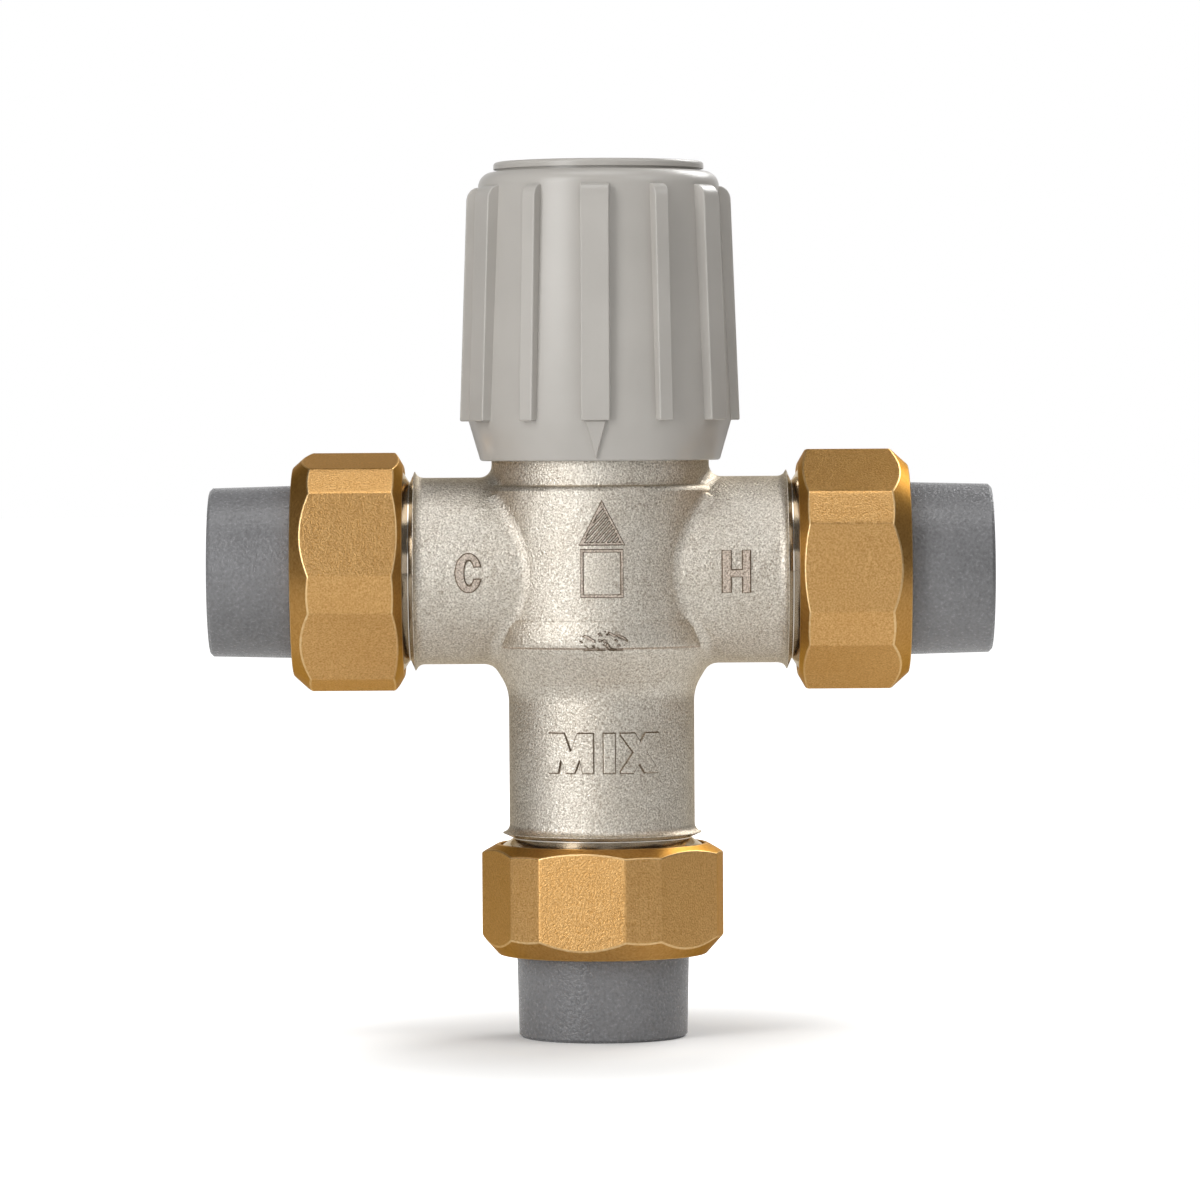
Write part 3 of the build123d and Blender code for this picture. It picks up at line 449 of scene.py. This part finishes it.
def rib_tree():
    """Geometry nodes that stand copies of a rib round the knob's axis."""
    tree = bpy.data.node_groups.new("ribs_round_knob", "GeometryNodeTree")
    for name, kind in (
        ("Rib", "NodeSocketObject"),
        ("Count", "NodeSocketInt"),
        ("First angle", "NodeSocketFloat"),
        ("Finish", "NodeSocketMaterial"),
    ):
        tree.interface.new_socket(name, in_out="INPUT", socket_type=kind)
    tree.interface.new_socket("Ribs", in_out="OUTPUT", socket_type="NodeSocketGeometry")
    given = add(tree, "NodeGroupInput").outputs
    rib = add(tree, "GeometryNodeObjectInfo", {"Object": given["Rib"]}).outputs["Geometry"]
    feet = add(tree, "GeometryNodePoints", {"Count": given["Count"]})
    step = add(tree, MATH, {0: 2 * math.pi, 1: given["Count"]}, operation="DIVIDE")
    index = add(tree, "GeometryNodeInputIndex")
    angle = add(tree, MATH, {0: index, 1: step, 2: given["First angle"]}, operation="MULTIPLY_ADD")
    turn = add(tree, "ShaderNodeCombineXYZ", {"Z": angle})
    stand = add(tree, "GeometryNodeInstanceOnPoints", {"Points": feet, "Instance": rib, "Rotation": turn})
    real = add(tree, "GeometryNodeRealizeInstances", {"Geometry": stand})
    painted = add(tree, "GeometryNodeSetMaterial", {"Geometry": real, "Material": given["Finish"]})
    add(tree, "NodeGroupOutput", {"Ribs": painted})
    return tree


def stand_ribs(name, tree, rib, count, first):
    """Runs the rib tree and returns its result as a plain mesh object."""
    holder = bpy.data.objects.new(name, bpy.data.meshes.new(name))
    scene.collection.objects.link(holder)
    nodes = holder.modifiers.new("ribs", "NODES")
    nodes.node_group = tree
    values = {"Rib": rib, "Count": count, "First angle": math.radians(first), "Finish": abs_plastic}
    for socket in tree.interface.items_tree:
        if socket.name in values:
            nodes[socket.identifier] = values[socket.name]
    graph = bpy.context.evaluated_depsgraph_get()
    mesh = bpy.data.meshes.new_from_object(holder.evaluated_get(graph))
    holder.modifiers.clear()
    holder.data = mesh
    bpy.data.objects.remove(rib)
    return holder


def make_knob():
    """The knob: shell, six wide and six narrow ribs, and the pointer on the skirt."""
    front = -90 + KNOB_TURN
    shell = make_mesh("knob_shell", *make_knob_shell(), [abs_plastic])
    soften(shell, 0.3)
    pieces = [shell]
    tree = rib_tree()
    for name, width, first in (("wide", 4.7, front), ("narrow", 2.5, front + 30)):
        rib = make_mesh(f"rib_{name}", *make_rib(width), [abs_plastic])
        soften(rib, 0.25)
        pieces.append(stand_ribs(f"knob_ribs_{name}", tree, rib, 6, first))
    half_width, tip = 1.7, SKIRT_LOW + 0.3
    pointer = [
        (KNOB_R + 0.8, -half_width, SKIRT_TOP),
        (KNOB_R + 0.8, half_width, SKIRT_TOP),
        (SKIRT_LOW_R + 0.75, 0.0, tip),
        (20.0, -half_width, SKIRT_TOP),
        (20.0, half_width, SKIRT_TOP),
        (18.6, 0.0, tip),
    ]
    faces = [(0, 1, 2), (5, 4, 3), (0, 3, 4, 1), (1, 4, 5, 2), (2, 5, 3, 0)]
    to_front = Matrix.Rotation(math.radians(front), 4, "Z")
    arrow = make_mesh("knob_pointer", pointer, faces, [abs_plastic], place=to_front)
    soften(arrow, 0.22)
    pieces.append(arrow)
    for piece in pieces:
        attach(piece, "knob")
        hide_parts("knob")


def box(u, v, left, right, low, high):
    """How far points lie inside an upright rectangle."""
    return np.minimum(np.minimum(u - left, right - u), np.minimum(v - low, high - v))


def wedge(u, v, *corners):
    """How far points lie inside a triangle whose corners go anticlockwise."""
    inside = []
    for (u0, v0), (u1, v1) in zip(corners, corners[1:] + corners[:1]):
        length = math.hypot(u1 - u0, v1 - v0)
        inside.append(((u1 - u0) * (v - v0) - (v1 - v0) * (u - u0)) / length)
    return np.minimum.reduce(inside)


def letter_c(u, v):
    """C for the cold inlet: an oval ring with its right side open."""
    outer = (1 - np.hypot(u / 2.18, v / 3.2)) * 2.4
    inner = (np.hypot((u - 0.1) / 0.8, v / 2.0) - 1) * 1.1
    opening = box(u, v, 0.5, 4.0, -0.95, 0.95)
    return np.minimum.reduce([outer, inner, -opening])


def letter_h(u, v):
    """H for the hot inlet."""
    left = box(u, v, -2.34, -0.8, -3.45, 3.45)
    right = box(u, v, 0.95, 2.34, -3.45, 3.45)
    cross = box(u, v, -1.5, 1.5, -0.9, 0.35)
    return np.maximum.reduce([left, right, cross])


def letters_mix(u, v):
    """MIX for the mixed outlet, in wide plain capitals whose counters are small wedges."""
    m = np.minimum.reduce([
        box(u, v, -9.1, -1.3, -3.3, 3.3),
        -wedge(u, v, (-6.2, 3.5), (-5.07, 0.4), (-3.95, 3.5)),
        -wedge(u, v, (-7.2, -3.5), (-5.9, -3.5), (-6.75, -1.3)),
        -wedge(u, v, (-4.45, -3.5), (-3.1, -3.5), (-3.6, -1.3)),
    ])
    i = box(u, v, 0.2, 2.2, -3.3, 3.3)
    x = np.minimum.reduce([
        box(u, v, 2.95, 9.8, -3.3, 3.3),
        -wedge(u, v, (5.3, 3.5), (6.35, 1.9), (7.3, 3.5)),
        -wedge(u, v, (5.1, -3.5), (7.15, -3.5), (6.1, -1.9)),
        -wedge(u, v, (2.8, 3.1), (2.8, -3.1), (5.0, 0.1)),
        -wedge(u, v, (9.95, -3.1), (9.95, 3.1), (7.6, 0.1)),
    ])
    return np.maximum.reduce([m, i, x])


def flow_arrow(u, v):
    """The flow arrow: a hatched head and a bare shaft, both with a raised edge."""
    edge, hatch_pitch, hatch_half = 0.5, 0.68, 0.2
    head = wedge(u, v, (-3.75, 0.72), (3.75, 0.72), (0.0, 8.0))
    rim = np.minimum(head, edge - head)
    hatch = hatch_half - np.abs((u - 0.9 * v) / 1.345 % hatch_pitch - hatch_pitch / 2)
    head = np.maximum(rim, np.minimum(head - 0.2, hatch))
    shaft = box(u, v, -3.5, 3.45, -7.7, 0.1)
    return np.maximum(head, np.minimum(shaft, edge - shaft))


def rough_patch(u, v):
    """A patch of rough, torn skin where the gate was cut off the casting: ridges of uneven height."""
    rng = np.random.default_rng(5)
    height = -0.25 + 0 * u
    for _ in range(14):
        angle, size, phase = rng.uniform(0.2, 1.6), rng.uniform(3.5, 9.0), rng.uniform(0, 6.3)
        height += 0.16 * np.sin(size * (u * math.cos(angle) + v * math.sin(angle)) + phase)
    edge = (1 - np.hypot(u / 3.9, v / 1.5)) * 1.2
    return np.minimum(height, edge)


def edge_band(u, v):
    """The barrel's lower edge: a lip that is crisp below and runs out slowly upward and to the sides."""
    return np.minimum(np.minimum(v + 1.6, (2.6 - v) * 0.1), (18.2 - np.abs(u)) * 0.07)


def raised_mark(
    name, inside, width, height, place, rise=0.4, soft=0.3, step=0.11, finishes=None, below=9.0
):
    """A cast mark: a fine sheet that follows the casting, stands proud inside the mark's outline and
    dives under the skin outside it. It is given a back, which stays buried. Its finishes are its
    outline's, where that lies below a height, and its top's. The outline's finish is darker: painted shade
    round the mark's foot."""
    dive = 0.12
    u, v = np.meshgrid(np.arange(-width / 2, width / 2, step), np.arange(-height / 2, height / 2, step))
    deep = inside(u, v)
    share = np.clip(deep / soft + 0.5, 0, 1)
    lift = (rise + dive) * share * share * (3 - 2 * share) - dive
    rows, columns = u.shape
    points = np.stack(place(u, v, lift), axis=-1).reshape(-1, 3)
    near = deep > -soft
    faces = [
        (i * columns + j, i * columns + j + 1, (i + 1) * columns + j + 1, (i + 1) * columns + j)
        for i in range(rows - 1)
        for j in range(columns - 1)
        if near[i : i + 2, j : j + 2].any()
    ]
    corners = np.array(faces)
    # Faces off the mark's top and below the given height take the first finish, the painted shade outline
    tops = (lift.ravel()[corners].min(axis=1) > 0.7 * rise) | (v.ravel()[corners].max(axis=1) > below)
    tops = tops.astype(np.int32)
    mark = make_mesh(name, points, faces, finishes or [nickel_mark_painted_shade, nickel_mark_tops_and_lip_shade], tops)
    shape = bmesh.new()
    shape.from_mesh(mark.data)
    bmesh.ops.delete(shape, geom=[p for p in shape.verts if not p.link_faces], context="VERTS")
    shape.faces.ensure_lookup_table()
    if shape.faces[0].normal.y * shape.faces[0].calc_center_median().y < 0:
        bmesh.ops.reverse_faces(shape, faces=shape.faces)
    shape.to_mesh(mark.data)
    shape.free()
    mark.data.shade_smooth()
    back = mark.modifiers.new("back", "SOLIDIFY")
    back.thickness = 0.5 * MM
    back.offset = -1
    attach(mark, "valve")


def on_arm(middle):
    """Places a mark on the front of an arm, round the arm's own axis."""
    return lambda u, v, h: (
        middle + u,
        -(ARM_R + h) * np.cos(v / ARM_R),
        AXIS_Z + (ARM_R + h) * np.sin(v / ARM_R),
    )


def on_barrel(radius, middle, across=0.0):
    """Places a mark on the front of the stem or barrel, round the upright axis."""
    return lambda u, v, h: (
        (radius + h) * np.sin((u + across) / radius),
        -(radius + h) * np.cos((u + across) / radius),
        middle + v,
    )


def under_barrel(side):
    """Places the barrel's lower lip on the casting, which draws in below it. Side 1 is the front and -1
    the back."""
    middle = 65.8
    heights = [63.1, 63.5, 64.2, 64.8, 65.3]
    radii = [18.78, 19.0, 19.29, 19.42, BARREL_R]

    def place(u, v, h):
        radius = np.interp(middle + v, heights, radii)
        turn = u / BARREL_R
        return side * (radius + h) * np.sin(turn), -side * (radius + h) * np.cos(turn), middle + v

    return place


def make_marks():
    """The plain port letters and the flow arrow that are cast on the front, and the barrel's lower lip
    with the rough place where the gate was."""
    # Outlines in painted shade, with tops in the plain casting finish
    plain = [nickel_mark_painted_shade, nickel_casting]
    lip_finishes_with_painted_shade = [nickel_mark_tops_and_lip_shade, nickel_casting]
    raised_mark("mark_cold", letter_c, 6.4, 7.6, on_arm(-21.4))
    raised_mark("mark_hot", letter_h, 6.4, 8.2, on_arm(21.9))
    raised_mark("mark_mix", letters_mix, 21.2, 8.2, on_barrel(STEM_R, 47.2), finishes=plain)
    raised_mark("mark_flow", flow_arrow, 8.6, 17.4, on_barrel(BARREL_R, 80.2, 0.2), rise=0.26, soft=0.22)
    raised_mark("mark_gate", rough_patch, 8.6, 3.4, on_barrel(BARREL_R, 65.6, 0.4), rise=0.75, soft=0.4)
    # The lip's lower edge takes the darker, browner mark finish: painted shade under the lip
    lip = {"rise": 0.34, "soft": 0.5, "step": 0.18, "finishes": lip_finishes_with_painted_shade, "below": -1.3}
    for name, side in (("front", 1), ("back", -1)):
        raised_mark(f"barrel_lip_{name}", edge_band, 40.0, 6.0, under_barrel(side), **lip)


def make_floor():
    """A pale floor that shows the valve's cast shadow, darkened further by a painted soft shadow, and is
    otherwise white to the camera.
    """
    bpy.ops.mesh.primitive_circle_add(vertices=96, radius=6.0, fill_type="NGON")
    floor = bpy.context.object
    floor.name = "studio_floor"
    material, tree, place = new_material("studio_floor_paper")
    path = add(tree, "ShaderNodeLightPath").outputs
    # Round the valve's foot the floor's glow is painted down in an oval, a painted soft shadow; away from it
    # the paper runs up into the white behind it
    oval = {0: place, 1: (15.0, 10.0, 0.0), 2: (0.0, 0.1, 0.0)}
    oval = add(tree, "ShaderNodeVectorMath", oval, operation="MULTIPLY_ADD")
    reach = add(tree, "ShaderNodeVectorMath", {0: oval}, operation="LENGTH").outputs["Value"]
    painted_shadow = {"Value": reach, "From Min": 0.2, "From Max": 1.5, "To Min": 0.08, "To Max": 1.0}
    painted_shadow = add(tree, RANGE, painted_shadow, interpolation_type="SMOOTHSTEP")
    lift = add(tree, MATH, {0: painted_shadow, 1: path["Is Camera Ray"]}, operation="MULTIPLY")
    paper = add(tree, "ShaderNodeBsdfDiffuse", {"Color": linear("#F4F4F3")})
    glow = add(tree, "ShaderNodeEmission", {"Color": linear("#FFFFFF"), "Strength": lift})
    both = add(tree, "ShaderNodeAddShader", {0: paper, 1: glow})
    add(tree, SURFACE, {"Surface": both})
    floor.data.materials.append(material)


def make_softbox(name, azimuth, elevation, distance, size, power):
    """A rectangular lamp that looks at the valve's middle. Azimuth is seen from above, 0 in front and 90
    at the right."""
    lamp = bpy.data.lights.new(name, "AREA")
    lamp.shape = "RECTANGLE"
    lamp.size, lamp.size_y = size
    lamp.energy = power
    holder = bpy.data.objects.new(name, lamp)
    a, e = math.radians(azimuth), math.radians(elevation)
    away = Vector((math.sin(a) * math.cos(e), -math.cos(a) * math.cos(e), math.sin(e)))
    holder.location = Vector((0, 0, 80)) * MM + away * distance
    holder.rotation_mode = "QUATERNION"
    holder.rotation_quaternion = away.to_track_quat("Z", "Y")
    scene.collection.objects.link(holder)


def make_studio():
    """White surroundings for the camera, dim ones for reflections, and soft lamps."""
    world = bpy.data.worlds.new("studio")
    scene.world = world
    world.use_nodes = True
    tree = world.node_tree
    tree.nodes.clear()
    path = add(tree, "ShaderNodeLightPath").outputs
    place = add(tree, "ShaderNodeTexCoord").outputs["Generated"]
    depth = add(tree, "ShaderNodeSeparateXYZ", {"Vector": place}).outputs["Y"]
    # The paper behind the valve is white, and the rest of the studio is dim
    behind = {"Value": depth, "From Min": 0.8, "From Max": 0.98, "To Min": ROOM_SIDES, "To Max": 1.0}
    behind = add(tree, RANGE, behind, interpolation_type="SMOOTHSTEP")
    room = add(tree, MATH, {0: behind, 1: ROOM_SIDES}, operation="MAXIMUM")
    level = add(tree, MIX, {"Factor": path["Is Camera Ray"], "A": room, "B": 1.0})
    sky = add(tree, "ShaderNodeBackground", {"Color": linear("#FFFFFF"), "Strength": level})
    add(tree, "ShaderNodeOutputWorld", {"Surface": sky})
    for lamp in LAMPS:
        make_softbox(*lamp)


def make_camera():
    """The photograph's view: a long lens, a little above the arms, rolled by a third of a degree."""
    lens = bpy.data.cameras.new("photograph")
    lens.sensor_width = 36
    lens.lens = 189
    lens.clip_start, lens.clip_end = 0.05, 50
    camera = bpy.data.objects.new("photograph", lens)
    target, distance = Vector((-0.00016, 0, 0.0716)), 1.033
    rise = math.radians(1.59)
    away = Vector((0, -math.cos(rise), math.sin(rise)))
    camera.location = target + away * distance
    roll = Matrix.Rotation(math.radians(-0.35), 4, "Z")
    look = away.to_track_quat("Z", "Y").to_matrix().to_4x4() @ roll
    camera.rotation_mode = "QUATERNION"
    camera.rotation_quaternion = look.to_quaternion()
    scene.collection.objects.link(camera)
    scene.camera = camera


make_camera()
make_studio()
make_floor()
finish_cad_nodes()
for port in PORTS:
    make_nut(port)
make_knob()
make_marks()

scene.view_settings.view_transform = "Standard"
